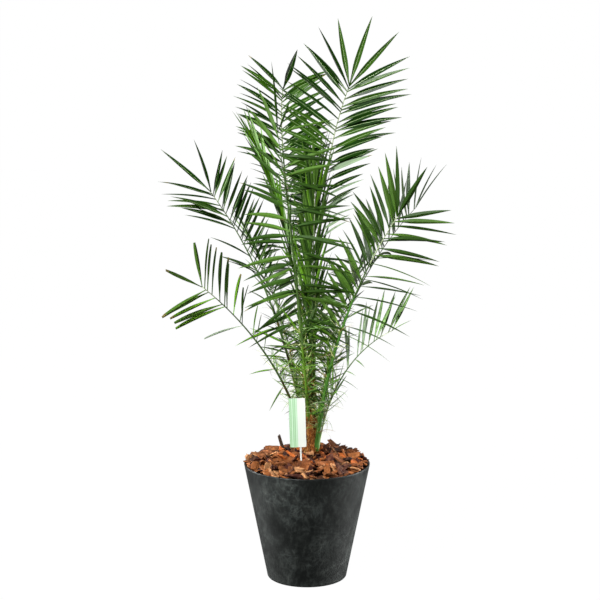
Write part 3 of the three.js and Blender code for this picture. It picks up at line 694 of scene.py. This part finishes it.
# In metres and degrees, and named as in the part's source: a blade's turn, its leaflets' angles (low at its
# foot, high at its tip) and what one side has more of them (skew), tips as an angle and a share of the
# length, sparse stretches as a side, from, to and the share kept. Only the finer pieces have the rest: shares
# of the four leaf tints (tones), width of the leaflets (slim), stretches of narrower leaflets and of leaflets
# painted pale as if lit through from behind, as a side, from and to, how many spines and threads the stalk
# carries, and the stalk's tint.
usualFrond = dict(
    sway=0, skew=(0, 0), uneven=0, wild=1, close=0.3, tips=((-14, 1.0), (14, 1.0)), sparse=(),
    slim=1.0, narrowed=(0, 0, 0, 1), backlitPale=(0, 0, 0), blunt=1.0, dryTips=0.06, spines=24, spineLength=1,
    hanging=(), threads=60, petiole="petioleGreen", petioleReach=0.9, paleFrom=0.78,
)
ownFronds = [
    dict(name="frond_tall_right", heading=50, lean=1.6, arch=31, curl=2.9, length=1.02, footZ=0.44,
         footOut=0.010, bare=0.34, pairs=38, leaf=0.210, foot=0.24, reach=0.8, turn=-26, low=64, high=68,
         skew=(17, -4), wild=0.8, stem=0.0075, close=0.45, tips=((4, 1.20), (28, 1.16), (-19, 1.12)),
         sparse=((-1, 0.0, 0.6, 0.7), (1, 0.0, 0.18, 0.1), (1, 0.0, 0.35, 0.7)), tones=(7, 3, 0, 0),
         narrowed=(-1, 0.0, 0.5, 0.75), backlitPale=(-1, 0.0, 0.6)),
    dict(name="frond_tall_left", heading=150, lean=4, arch=44, curl=2.2, sway=-66, length=1.05, footZ=0.44,
         footOut=0.012, bare=0.64, pairs=22, leaf=0.158, foot=0.6, reach=0.3, turn=0, low=64, high=58,
         wild=1.3, stem=0.0075, close=0.0, tips=((-9, 1.2),), tones=(8, 3, 0, 0), slim=1.2),
    dict(name="frond_front", heading=255, lean=17, arch=7.5, curl=3, sway=-4, length=0.925, footZ=0.46,
         footOut=0.012, bare=0.30, pairs=25, leaf=0.185, foot=1, reach=0.2, turnLow=-16, turn=34,
         low=125, high=66, wild=2.2, stem=0.0038, close=0.0, tips=((7, 1.3), (32, 0.95)),
         sparse=((1, 0.1, 0.5, 0.85),), tones=(6, 4, 0, 0), slim=0.85, narrowed=(1, 0.94, 1.1, 0.5),
         spines=44, threads=120, paleFrom=1.0),
    dict(name="frond_left_upper", heading=158, lean=12, arch=28, curl=1.55, length=0.795, footZ=0.40,
         footOut=0.010, bare=0.42, pairs=31, leaf=0.160, foot=0.35, reach=0.6, turn=42, low=46, high=52,
         uneven=0.08, wild=0.8, stem=0.0062, close=0.1, tips=((11, 1.27), (-21, 1.15)),
         sparse=((1, 0.0, 0.7, 0.28), (-1, 0.0, 0.3, 0.7)), tones=(6, 4, 0, 0), slim=0.88,
         spines=42, threads=100, petiole="petioleBrown", paleFrom=0.95),
    dict(name="frond_left_lower", heading=224, lean=14, arch=38.5, curl=0.75, sway=-6, length=0.655,
         footZ=0.385, footOut=0.018, bare=0.40, pairs=17, leaf=0.145, foot=0.25, reach=0.7, turn=-88,
         low=64, high=64, skew=(3, 3), wild=0.8, stem=0.0052, close=0.0, tips=((-8, 0.95), (41, 0.95)),
         sparse=((-1, 0.0, 0.42, 0.0), (-1, 0.42, 0.72, 0.35), (1, 0.0, 0.5, 0.6)), tones=(3, 5, 2, 0),
         narrowed=(-1, 0.0, 0.6, 0.7), backlitPale=(-1, 0.0, 0.72), blunt=0.86, dryTips=0.3, spines=28,
         spineLength=0.6, hanging=((0.335, 118, -1, 0.083, 1),),  # place, spread, side, length, tone
         threads=70, petiole="petioleBrown", paleFrom=0.9),
    dict(name="frond_right_front", heading=325, lean=5.5, arch=30, curl=0.95, length=0.773, footZ=0.375,
         footOut=0.020, bare=0.42, pairs=24, leaf=0.176, foot=0.8, reach=0.2, turn=88, low=86, high=62,
         skew=(6, -6), wild=1.3, stem=0.0075, close=0.25, tips=((-4, 1.05), (-36, 1.2), (-47, 1.1)),
         sparse=((1, 0.0, 0.6, 0.4), (-1, 0.0, 0.4, 0.8), (-1, 0.4, 1.1, 0.8)), tones=(6, 4, 0, 0),
         narrowed=(1, 0.0, 0.66, 0.45), spines=42, threads=110, petiole="petioleFresh", petioleReach=1.5),
    dict(name="frond_right_back", heading=32, lean=7, arch=44, curl=1.1, length=0.79, footZ=0.39,
         footOut=0.012, bare=0.50, pairs=22, leaf=0.165, foot=0.5, reach=0.3, turn=60, low=60, high=58,
         wild=1.2, stem=0.006, tips=((-20, 1.0), (-40, 0.92)),
         sparse=((1, 0.5, 1.1, 0.0), (1, 0.0, 0.5, 0.6)), tones=(1, 2, 1, 6), slim=1.2,
         backlitPale=(-1, 0.0, 1.1)),
    dict(name="frond_right_lower", heading=350, lean=10, arch=53, curl=1.55, length=0.447, footZ=0.372,
         footOut=0.020, bare=0.40, pairs=16, leaf=0.160, foot=0.5, reach=0.4, turn=-40, low=60, high=64,
         skew=(-14, -19), wild=1.3, stem=0.005, close=0.1, tips=((9, 0.4),),
         sparse=((-1, 0.0, 0.5, 0.5), (-1, 0.5, 1.1, 0.0), (1, 0.0, 0.5, 0.5)), tones=(2, 3, 2, 3),
         slim=0.75, narrowed=(-1, 0.0, 0.6, 0.4), backlitPale=(1, 0.0, 0.6), spines=30, threads=80,
         petiole="petioleOliveWithPaintedLight", paleFrom=0.9),
    dict(name="frond_young", heading=152, lean=2, arch=24, curl=1.5, length=0.82, footZ=0.45,
         footOut=0.006, bare=0.42, pairs=24, leaf=0.16, foot=0.7, reach=0.2, turn=40, low=11, high=6,
         stem=0.0045, tips=((-4, 0.9), (4, 0.8)), tones=(1, 1, 6, 3), slim=0.6, spines=16),
    dict(name="frond_heart", heading=10, lean=0, arch=2, curl=1.4, length=0.68, footZ=0.46,
         footOut=0.004, bare=0.14, pairs=34, leaf=0.20, foot=0.8, reach=0.2, turn=80, low=16, high=12,
         stem=0.0045, tips=((-5, 0.9), (5, 0.9)), tones=(5, 4, 2, 0), slim=0.6, spines=20, threads=110),
    dict(name="frond_back_tall", heading=90, lean=10, arch=40, curl=1.7, length=0.86, footZ=0.43,
         footOut=0.014, bare=0.38, pairs=26, leaf=0.16, foot=0.6, reach=0.3, turn=70, low=58, high=54,
         stem=0.0075, tones=(6, 4, 1, 0)),
    dict(name="frond_back_right", heading=66, lean=22, arch=34, curl=1.3, length=0.62, footZ=0.385,
         footOut=0.018, bare=0.40, pairs=16, leaf=0.125, foot=0.5, reach=0.4, turn=35, low=64, high=60,
         stem=0.0055, sparse=((-1, 0.0, 0.4, 0.3), (1, 0.0, 0.4, 0.3)), tones=(4, 4, 1, 2)),
    dict(name="frond_back_left", heading=116, lean=20, arch=36, curl=1.3, length=0.68, footZ=0.39,
         footOut=0.018, bare=0.40, pairs=17, leaf=0.15, foot=0.5, reach=0.4, turn=-35, low=64, high=60,
         stem=0.0055, tones=(4, 4, 1, 2)),
]
fronds = [{**usualFrond, "turnLow": own["turn"], **own} for own in ownFronds]


def frondFrame(frond, t):
    t = np.asarray(t, float)
    lean = np.radians(frond["lean"] + frond["arch"] * t ** frond["curl"])
    heading = np.radians(frond["heading"] + frond["sway"] * t)
    along = np.stack([np.sin(lean) * np.cos(heading), np.sin(lean) * np.sin(heading), np.cos(lean)], -1)
    side = np.stack([-np.sin(heading), np.cos(heading), 0 * heading], -1)
    up = np.cross(along, side)
    rolled = np.minimum(1, t / growth["turnReach"]) * frond["turnLow"]
    late = np.maximum(0, (t - growth["turnReach"]) / (1 - growth["turnReach"]))
    turn = np.radians(rolled + (frond["turn"] - frond["turnLow"]) * late)[..., None]
    return along, side * np.cos(turn) - up * np.sin(turn), up * np.cos(turn) + side * np.sin(turn)


def ribPlaces(frond):
    heading = math.radians(frond["heading"])
    out = np.array([math.cos(heading), math.sin(heading), 0])
    foot = stemCentre(frond["footZ"]) + frond["footOut"] * out
    steps = growth["fineSteps"]
    along, _, _ = frondFrame(frond, (np.arange(steps) + 0.5) / steps)
    return np.concatenate([foot[None], foot + np.cumsum(along * frond["length"] / steps, 0)])


def placeAt(places, t):
    grid = np.linspace(0, 1, len(places))
    return np.stack([np.interp(t, grid, places[:, i]) for i in range(3)], -1)


def ribHalf(frond, t):
    return growth["ribTip"] + (frond["stem"] - growth["ribTip"]) * (1 - np.asarray(t)) ** growth["ribTaper"]


def keptShare(frond, hand, u):
    # some stretches of a side have lost leaflets; the last stretch named counts
    kept = 1.0
    for side, start, end, share in frond["sparse"]:
        if side == hand and start <= u < end:
            kept = share
    return kept


def leafPlan(frond, number):
    g = growth
    rows = []
    for k in range(frond["pairs"]):
        u = (k + 0.5) / frond["pairs"]
        for hand in (-1, 1):
            item = 2 * k + (hand + 1) // 2
            shift = g["stagger"] * (hand + 1) + g["bunch"] * math.sin(g["bunchTurn"] * item)
            t = frond["bare"] + (1 - frond["bare"]) * (u + shift / frond["pairs"])
            spread = frond["low"] + (frond["high"] - frond["low"]) * u
            spread *= 1 - frond["close"] * u ** g["closeCurl"]
            spread += hand * (frond["skew"][0] + (frond["skew"][1] - frond["skew"][0]) * u)
            spread += g["spreadJitter"] * frond["wild"] * (draw(number, item, 0) - 0.5)
            fold = g["fold"] + g["foldJitter"] * (draw(number, item, 1) - 0.5)
            grown = frond["foot"] + (1 - frond["foot"]) * min(1, u / frond["reach"])
            length = frond["leaf"] * grown * (1 + g["lengthJitter"] * (draw(number, item, 2) - 0.5))
            length *= 1 + frond["uneven"] * hand
            if draw(number, item, 8) <= keptShare(frond, hand, u):
                rows.append((min(1, t), hand, spread, fold, length, item, u))
    for i, (angle, share) in enumerate(frond["tips"]):
        hand = 1 if angle > 0 else -1
        rows.append((1.0, hand, abs(angle), 0.0, frond["leaf"] * share, 2 * frond["pairs"] + i, 1.0))
    return np.array(rows)


# Leaflets: closed thin blades, folded along a pale midrib

blade = {
    "stations": 12, "ring": 7, "widthShare": 0.092, "widest": 0.0170, "rootShare": 0.30, "bellyAt": 0.34,
    "tipShare": 0.012, "rootFold": 50, "midFold": 20, "foldReach": 0.3, "shoulder": 0.55, "crown": 0.07,
    "keel": 0.0008, "midrib": 0.0006, "tilt": 16, "tiltJitter": 50, "contrary": 0.1, "bend": 0.05,
    "arc": 0.025, "hook": 0.13, "footWidth": 0.5, "footReach": 0.3, "backlitPaleShare": 0.8,
}
leafTints = {"deep": ("#122d05", "#263f12"), "mid": ("#28460d", "#3d5b1e"), "fresh": ("#3b640a", "#507a1b"),
             "pale": ("#618248", "#81986a")}  # upper side, underside
# painted light: pale grey-green tints, with more light let through, stand in for thin leaflets lit from
# behind
backlitPaleTint = ("#82957a", "#94a58b")
leafRough = (0.3, 0.42)
# Places in the list that leafFinishes makes; tone n has its upper side at 2 n and its underside after it
midribPlace, dryPlace, backlitPaleTone = 8, 9, 5


def leafFinish(name, tint, rough, through):
    finish = Finish(name, gloss=0.09)
    where = finish.place()
    drift = finish.noise(where, 9.0, 3.0)
    veins = finish.noise(where, 90.0, 3.0, 0.6)
    base = colour(tint)
    body = finish.mixColour(finish.ramp(drift, 0.3, 0.7), shaded(base, 0.72), shaded(base, 1.3))
    finish.set(tint=finish.mixColour(veins * 0.35, body, base), rough=veins * 0.14 + rough)
    finish.bump(veins, 0.05, 0.0004)
    finish.letThrough(shaded(base, 2.2), through)
    return finish


def leafFinishes():
    finishes = []
    for name, (top, under) in leafTints.items():
        finishes.append(leafFinish("leafTop_" + name, top, leafRough[0], 0.08))
        finishes.append(leafFinish("leafUnder_" + name, under, leafRough[1], 0.08))
    finishes.append(grainFinish("leafMidrib", "#5f7d45", "#9db080", 60.0, gloss=0.4, rough=0.45))
    finishes.append(grainFinish("leafDryTip", "#47431f", "#7a703a", 80.0, gloss=0.2, rough=0.7))
    # leaflets painted pale as if lit through from behind: painted light
    finishes.append(leafFinish("leafTop_backlitPale", backlitPaleTint[0], 0.4, 0.26))
    finishes.append(leafFinish("leafUnder_backlitPale", backlitPaleTint[1], 0.42, 0.28))
    return finishes


def bladeRings(root, direction, along, up, length, item, number, u, wide, blunt=1.0):
    # rings of one leaflet, root to tip, each from one edge over the midrib to the other and back by the keel
    b = blade
    across = unit(along - direction * along.dot(direction))
    s = np.linspace(0, 1, b["stations"]) ** 1.05
    hinge = 1 if draw(number, item, 3) > b["contrary"] else -1
    turn = math.radians(b["tilt"] + b["tiltJitter"] * (draw(number, item, 4) - 0.5))
    bow = (draw(number, item, 5) - 0.3) * b["bend"]
    hook = b["hook"] * (1 - u) ** 0.6 * (0.3 + draw(number, item, 7))
    belly = (s - s ** 2)[:, None] * length
    line = root + direction * (s * length)[:, None]
    line[:, 2] -= growth["sag"] * length * s ** 2
    line += up * b["arc"] * belly - across * bow * belly + along * hook * belly
    tangent = unit(np.gradient(line, axis=0))
    flat = across * math.cos(turn) + np.cross(direction, across) * math.sin(turn) * hinge
    flat = unit(flat - dot(flat, tangent) * tangent)
    normal = np.cross(tangent, flat)
    upright = np.sign(dot(normal, up) + 1e-9)
    flat, normal = flat * upright, normal * upright
    widestAt = b["bellyAt"] + 1.6 * (1 - blunt)
    rise = smoothStep(s / widestAt)
    fall = np.clip((s * blunt - widestAt) / (1 - widestAt), 0, 1)
    share = (b["rootShare"] + (1 - b["rootShare"]) * rise) * (1 - fall ** 1.9) + b["tipShare"]
    slim = b["footWidth"] + (1 - b["footWidth"]) * min(1, u / b["footReach"])
    half = 0.5 * min(b["widest"], b["widthShare"] * length) * slim * wide * share
    fold = np.radians(b["rootFold"] + (b["midFold"] - b["rootFold"]) * smoothStep(s / b["foldReach"]))
    keel = b["keel"] * (1 - 0.75 * s)
    rib = np.minimum(b["midrib"] * (1 - 0.7 * s), half * 0.3)
    x, y = half * np.cos(fold), half * np.sin(fold)
    foldX, foldY = b["shoulder"] * x, b["shoulder"] * y + b["crown"] * half
    level = 0 * s
    points = [(x, y), (foldX, foldY), (rib, level), (-rib, level), (-foldX, foldY), (-x, y), (level, -keel)]
    return np.stack([line + flat * dx[:, None] + normal * dy[:, None] for dx, dy in points], 1)


def bladeTones(tone):
    # finish of each face of one leaflet: its strips from ring to ring, then its two ends
    top, under = 2 * tone, 2 * tone + 1
    strips = [top, top, midribPlace, top, top, under, under]
    return strips * (blade["stations"] - 1) + [under, under]


def makeBlades(name, frond, rings, tones, finishes, sharpAngle=None):
    faces = manyTubes(len(rings), blade["stations"], blade["ring"])
    tones = np.concatenate(tones)
    piece = makePiece(frond["name"] + name, rings, faces, finishes, tones, sharpAngle=sharpAngle)
    setOn(piece, frond["name"])


def makeLeaflets(frond, number, places, finishes):
    plan = leafPlan(frond, number)
    along, side, up = frondFrame(frond, plan[:, 0])
    roots = placeAt(places, plan[:, 0])
    rings, tones = [], []
    steps = np.cumsum(frond["tones"]) / sum(frond["tones"])
    narrowSide, narrowFrom, narrowTo, narrowShare = frond["narrowed"]
    backlitSide, backlitFrom, backlitTo = frond["backlitPale"]
    for i, (t, hand, spread, fold, length, item, u) in enumerate(plan):
        item = int(item)
        spread, fold = math.radians(spread), math.radians(fold)
        outward = side[i] * hand * math.cos(fold) + up[i] * math.sin(fold)
        direction = along[i] * math.cos(spread) + outward * math.sin(spread)
        wide = frond["slim"]
        if hand == narrowSide and narrowFrom <= u < narrowTo:
            wide *= narrowShare
        rings.append(bladeRings(roots[i], direction, along[i], up[i], length, item, number, u, wide,
                                frond["blunt"]))
        tone = int(np.searchsorted(steps, draw(number, item, 6)))
        # painted light: on these stretches most leaflets take the pale tone that stands in for backlight
        isBacklitPale = hand == backlitSide and backlitFrom <= u < backlitTo
        if isBacklitPale and draw(number, item, 9) < blade["backlitPaleShare"]:
            tone = backlitPaleTone
        leafTones = bladeTones(tone)
        if draw(number, item, 10) < frond["dryTips"]:
            tipFaces = blade["ring"] + 2
            leafTones[-tipFaces:] = [dryPlace] * tipFaces
        tones.append(leafTones)
    makeBlades("_leaflets", frond, rings, tones, finishes, sharpAngle=32)


ribShape = {
    "stations": 48, "around": 12, "flare": 0.35, "flareReach": 0.07, "flatTop": 0.55, "deepen": 1.1,
}
ribTints = {
    "petioleGreen": ("#274608", "#587a22"), "ribGreen": ("#25381a", "#4a6430"),
    "ribPale": ("#6d7d55", "#a3ab8c"), "petioleBrown": ("#1f1c0c", "#41421a"),
    # the olive stalk's tints, last in this table, are raised well above its own dull olive: painted light on
    # a stalk that lies in shade
    "petioleFresh": ("#1f450e", "#45702b"), "petioleOliveWithPaintedLight": ("#7a8a58", "#b5c495"),
}


def ribFinishes():
    finishes = []
    for name, (dark, light) in ribTints.items():
        finish = Finish(name, gloss=0.25)
        streak = finish.noise(finish.place((1, 1, 0.25)), 120.0, 3.0, 0.6)
        drift = finish.noise(finish.place(), 8.0, 2.0)
        finish.set(tint=finish.mixColour(drift * 0.6 + streak * 0.4, colour(dark), colour(light)), rough=0.36)
        finish.bump(streak, 0.2, 0.0006)
        finishes.append(finish)
    return finishes


def makeRib(frond, places, finishes):
    s = ribShape
    t = np.linspace(0, 1, s["stations"])
    along, side, up = frondFrame(frond, t)
    centre = placeAt(places, t)
    wide = ribHalf(frond, t) * (1 + s["flare"] * np.exp(-t / s["flareReach"]))
    a = angles(s["around"])
    x = wide[:, None] * np.cos(a)
    flatTop = np.where(np.sin(a) > 0, s["flatTop"], 1.0)
    y = wide[:, None] * growth["depthShare"] * s["deepen"] * np.sin(a) * flatTop
    rings = centre[:, None] + side[:, None] * x[..., None] + up[:, None] * y[..., None]
    petiole, green, pale = (list(ribTints).index(name) for name in (frond["petiole"], "ribGreen", "ribPale"))
    petioleEnd = frond["bare"] * frond["petioleReach"]
    tones = []
    for place in t[:-1]:
        tone = petiole if place < petioleEnd else (green if place < frond["paleFrom"] else pale)
        tones += [tone] * s["around"]
    tones += [petiole, pale]
    faces = tubeFaces(s["stations"], s["around"])
    setOn(makePiece(frond["name"] + "_rib", rings, faces, finishes, tones), frond["name"])


# Spines and threads between the stalk's foot and the blade

narrow = {
    "from": 0.34, "to": 1.12, "length": (0.045, 0.15), "open": (28, 105), "fold": (-80, 80), "outer": 0.3,
    "seed": 41, "slim": 0.12, "tones": (0.2, 0.9, 3.4, 2.4), "firstItem": 500,
}


def spine(frond, number, places, t, spread, fold, hand, length, item, mayLeanOut):
    along, side, up = frondFrame(frond, t)
    root = placeAt(places, t)
    outward = side * hand * math.cos(fold) + up * math.sin(fold)
    inward = (stemCentre(root[2]) - root).dot(outward) > 0
    if not inward and not mayLeanOut:
        outward = -outward
    direction = along * math.cos(spread) + outward * math.sin(spread)
    flatUp = np.cross(direction, unit(along - direction * along.dot(direction)))
    return bladeRings(root, direction, along, flatUp, length, item, number, narrow["slim"], 1.0)


def makeNarrow(frond, number, places, finishes):
    # short narrow leaflets, drawn at random, then those that hang where the photo shows one
    s = narrow
    random = np.random.RandomState(s["seed"] + number)
    shares = np.cumsum(np.array(frond["tones"], float) * 0.5 + s["tones"])
    rings, tones = [], []
    for k in range(frond["spines"]):
        share = (k + random.uniform(0, 1)) / frond["spines"]
        t = frond["bare"] * (s["from"] + (s["to"] - s["from"]) * share)
        spread, fold = np.radians([random.uniform(*s["open"]), random.uniform(*s["fold"])])
        hand = random.choice([-1, 1])
        length = s["length"][0] + (s["length"][1] - s["length"][0]) * share * random.uniform(0.5, 1.1)
        length *= frond["spineLength"]
        tones.append(bladeTones(int(np.searchsorted(shares, random.uniform(0, shares[-1])))))
        leanOut = random.uniform(0, 1) <= s["outer"]
        rings.append(spine(frond, number, places, t, spread, fold, hand, length, s["firstItem"] + k, leanOut))
    for t, spread, hand, length, tone in frond["hanging"]:
        spread = math.radians(spread)
        rings.append(spine(frond, number, places, t, spread, 0, hand, length, s["firstItem"] - 1, True))
        tones.append(bladeTones(tone))
    makeBlades("_spines", frond, rings, tones, finishes)


threads = {
    "from": 0.2, "to": 1.15, "open": (15, 100), "length": (0.02, 0.10), "half": (0.0004, 0.0013),
    "curl": (-3.0, 3.0), "leastCurl": 0.2, "inwardTo": 0.5, "tipThin": 0.85, "stations": 10,
    "shares": (0.4, 0.42, 0.18), "seed": 23,
}
threadTints = {"threadPale": ("#8c9a4c", "#c3cf8c"), "threadGreen": ("#3f6d17", "#74a237"),
               "threadBrown": ("#6b4a22", "#a3824e")}


def makeThreads(frond, number, places, finishes):
    # curled fibres that the leaf stalks carry low down
    s = threads
    count = frond["threads"]
    random = np.random.RandomState(s["seed"] + number)
    t = frond["bare"] * random.uniform(s["from"], s["to"], count)
    root = placeAt(places, t)
    along, side, up = frondFrame(frond, t)
    around = random.uniform(0, 2 * math.pi, (count, 1))
    outward = side * np.cos(around) + up * np.sin(around)
    inward = stemCentre(s["inwardTo"]) - root
    outward = np.where(dot(outward, inward * (1, 1, 0)) < 0, -outward, outward)
    spread = np.radians(random.uniform(*s["open"], (count, 1)))
    direction = along * np.cos(spread) + outward * np.sin(spread)
    bend = unit(np.cross(direction, unit(random.normal(size=(count, 3)))))
    length = random.uniform(*s["length"], (count, 1, 1))
    curl = random.uniform(*s["curl"], (count, 1, 1))
    curl = np.where(np.abs(curl) < s["leastCurl"], s["leastCurl"], curl)
    run = np.linspace(0, 1, s["stations"])[None, :, None]
    reach = length / curl
    line = root[:, None] + direction[:, None] * reach * np.sin(curl * run)
    line = line + bend[:, None] * reach * (1 - np.cos(curl * run))
    tangent = unit(np.gradient(line, axis=1))
    first = unit(np.cross(tangent, bend[:, None] + 0.3 * direction[:, None]))
    second = np.cross(tangent, first)
    half = random.uniform(*s["half"], (count, 1, 1)) * (1 - s["tipThin"] * run ** 2)
    tones = random.choice(3, count, p=s["shares"])
    name = frond["name"]
    makeHairs(name + "_threads", line, first, second, half, tones, finishes, name)


def makeFronds():
    leafTones = leafFinishes()
    ribTones = ribFinishes()
    threadTones = [grainFinish(name, dark, light, 90.0, gloss=0.3, rough=0.6)
                   for name, (dark, light) in threadTints.items()]
    for number, frond in enumerate(fronds):
        places = ribPlaces(frond)
        makeRib(frond, places, ribTones)
        makeLeaflets(frond, number, places, leafTones)
        makeNarrow(frond, number, places, leafTones)
        makeThreads(frond, number, places, threadTones)


# Floor and studio round it

def brightWhite(name):
    # white that glows, so the ground stays as even as in the photo
    finish = grainFinish(name, "#060606", "#0c0c0c", 3.0, gloss=0.0, rough=0.9)
    finish.set(glowTint=(1, 1, 1, 1), glow=1.0)
    return finish


def stageOnly(piece):
    # seen by the camera, but the lamps and the sky alone light the plant
    for rays in ("diffuse", "glossy", "transmission", "shadow"):
        setattr(piece, "visible_" + rays, False)


def makeStage():
    h = shot["floorHalf"]
    corners = [(-h, -h, 0), (h, -h, 0), (h, h, 0), (-h, h, 0)]
    stageOnly(makePiece("paleFloorSheet", corners, [(0, 1, 2, 3)], [brightWhite("paleFloor")]))
    rings = []
    for level in range(shot["domeLevels"]):
        rise = math.radians(shot["domeFoot"] + shot["domeSpan"] * level / (shot["domeLevels"] - 1))
        radius = shot["domeRadius"] * max(shot["domeTop"], math.cos(rise))
        rings.append(circle(radius, shot["domeRadius"] * math.sin(rise), shot["domeAround"]))
    faces = tubeFaces(len(rings), shot["domeAround"])
    stageOnly(makePiece("studioDome", rings, faces, [brightWhite("studioWhite")]))


bpy.context.scene.view_settings.view_transform = "Standard"
addCamera()
addSky()
for lampName, lampSettings in lamps.items():
    addLamp(lampName, lampSettings)
makeStage()
print("stage set")
makePlanter()
makeSoil()
makeBark()
print("planter and bark made")
makeLabel()
makeStump()
makeStem()
print("label and stem made")
makeFronds()
print("fronds made")
